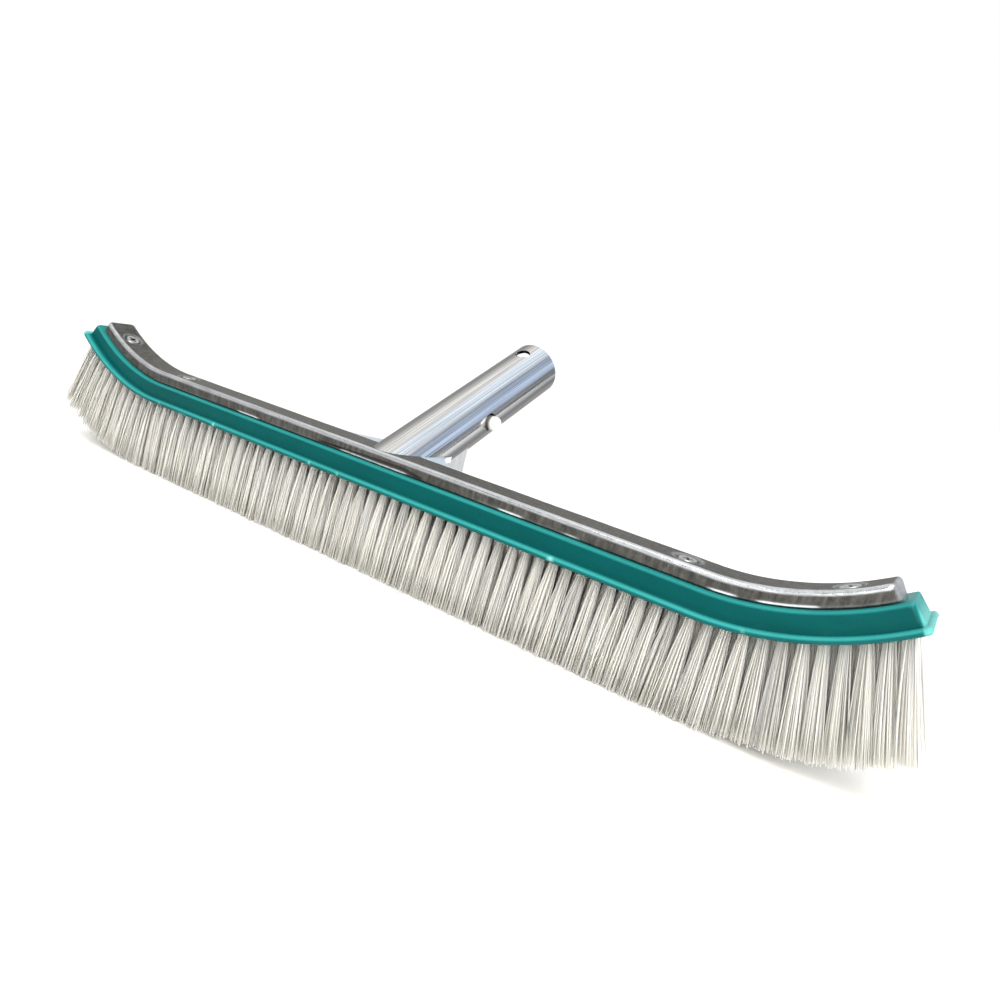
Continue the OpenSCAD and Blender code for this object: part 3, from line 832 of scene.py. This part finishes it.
# ------------------------------------------------ stage, light and camera
def floor():
    m = Mat("stage_floor")
    n = m.noise(6, 4, 0.6)
    base = m.mix(m.span(n, 0, 1, 0.3, 0.7), (0.90, 0.90, 0.895), (0.92, 0.92, 0.915))
    mat = m.set(Base_Color=base, Roughness=0.95, Specular_IOR_Level=0.1)
    v, f = [(0, 0, 0)], []
    radii = (1.0, 3.0, 9.0, 30.0, 120.0)
    for r in radii:
        v += [(r * math.cos(a), r * math.sin(a), 0) for a in np.linspace(0, 2 * math.pi, 48, endpoint=False)]
    for q in range(48):
        f.append((0, 1 + q, 1 + (q + 1) % 48))
    for k in range(len(radii) - 1):
        for q in range(48):
            a, b = 1 + k * 48 + q, 1 + k * 48 + (q + 1) % 48
            f.append((a, a + 48, b + 48, b))
    ob = make_mesh("stage_floor", v, f, mat)


floor()


def area(name, loc, target, size, power, colour, size_y=None):
    l = bpy.data.lights.new(name, "AREA")
    l.energy = power
    l.color = colour
    l.shape = "RECTANGLE" if size_y else "SQUARE"
    l.size = size
    if size_y:
        l.size_y = size_y
    o = bpy.data.objects.new(name, l)
    o.location = loc
    o.rotation_euler = (Vector(target) - Vector(loc)).to_track_quat("-Z", "Y").to_euler()
    bpy.context.scene.collection.objects.link(o)
    return o


# a broad, dim softbox above the camera
area("key_top", (0.9, -1.5, 2.6), (0, 0.02, 0.05), 1.6, 17, (1.0, 0.985, 0.95), 1.2)


# a diffuse light to the right that the metal does not mirror, and a soft fill from beside the camera
area("key_right", (1.55, -0.20, 0.42), (0.10, 0.02, 0.06), 0.8, 16, (1.0, 1.0, 1.0)).visible_glossy = False
area("fill_front", (0.34, -0.80, 0.24), (0.05, 0.0, 0.04), 0.5, 3.5, (1.0, 0.985, 0.95))


def studio_world():
    """A soft dome: white low behind, warm overhead, cool to the right, dim in front."""
    w = bpy.data.worlds.new("studio")
    bpy.context.scene.world = w
    w.use_nodes = True
    t = w.node_tree
    bg = t.nodes["Background"]
    co = t.nodes.new("ShaderNodeTexCoord").outputs["Generated"]

    def add(kind, **kw):
        n = t.nodes.new(kind)
        for k, v in kw.items():
            setattr(n, k, v)
        return n

    def toward(d, a, b):
        d = Vector(d).normalized()
        n = add("ShaderNodeVectorMath", operation="DOT_PRODUCT")
        t.links.new(co, n.inputs[0])
        n.inputs[1].default_value = d
        r = add("ShaderNodeMapRange", interpolation_type="SMOOTHSTEP")
        r.inputs["From Min"].default_value = a
        r.inputs["From Max"].default_value = b
        t.links.new(n.outputs["Value"], r.inputs["Value"])
        return r.outputs[0]

    def mix(fac, a, b):
        n = add("ShaderNodeMix", data_type="RGBA")
        t.links.new(fac, n.inputs[0])
        for sock, v in ((n.inputs[6], a), (n.inputs[7], b)):
            if isinstance(v, tuple):
                sock.default_value = (*v, 1)
            else:
                t.links.new(v, sock)
        return n.outputs[2]

    back = toward((-0.53, 0.85, 0), -0.30, 0.20)
    c = mix(back, (0.48, 0.48, 0.475), (0.80, 0.83, 0.90))
    c = mix(toward((-0.45, 0.35, 0.82), 0.50, 0.80), c, (1.02, 1.01, 0.97))
    c = mix(toward((0.12, 0.37, 0.92), 0.962, 0.985), c, (1.02, 1.16, 1.30))
    c = mix(toward((0.55, 0.49, 0.67), 0.950, 0.985), c, (0.38, 0.46, 0.58))
    c = mix(toward((0.68, 0.60, 0.41), 0.955, 0.985), c, (0.62, 0.75, 0.98))
    low = add("ShaderNodeMath", operation="MULTIPLY")
    t.links.new(toward((0, 0, -1), -0.36, -0.24), low.inputs[0])
    t.links.new(toward((0.65, 0.76, 0.05), 0.86, 0.95), low.inputs[1])
    c = mix(low.outputs[0], c, (0.25, 0.26, 0.28))
    c = mix(toward((0.20, -0.58, 0.79), 0.84, 0.94), c, (3.2, 3.15, 3.05))
    # the plain pale backdrop itself
    path = add("ShaderNodeLightPath")
    c = mix(path.outputs["Is Camera Ray"], c, (1.0, 1.0, 1.0))
    t.links.new(c, bg.inputs[0])
    bg.inputs[1].default_value = 1.0


studio_world()
bpy.context.scene.view_settings.view_transform = "Standard"

cam_data = bpy.data.cameras.new("camera")
cam = bpy.data.objects.new("camera", cam_data)
bpy.context.scene.collection.objects.link(cam)
bpy.context.scene.camera = cam
right = Vector((0.792866, 0.570833, 0.213337))
down = Vector((0.342090, -0.127201, -0.931018))
fwd = Vector((-0.504319, 0.811153, -0.296129))
rot = Matrix((right, -down, -fwd)).transposed()
cam.matrix_world = Matrix.Translation(Vector((224.136, -297.672, 87.633 + ZF)) * MM) @ rot.to_4x4()
cam_data.sensor_width = 36.0
cam_data.lens = 796.637 / 1000 * 36.0
cam_data.shift_x = (500 - 437.457) / 1000
cam_data.shift_y = (554.198 - 500) / 1000
cam_data.clip_start = 0.01
cam_data.clip_end = 30
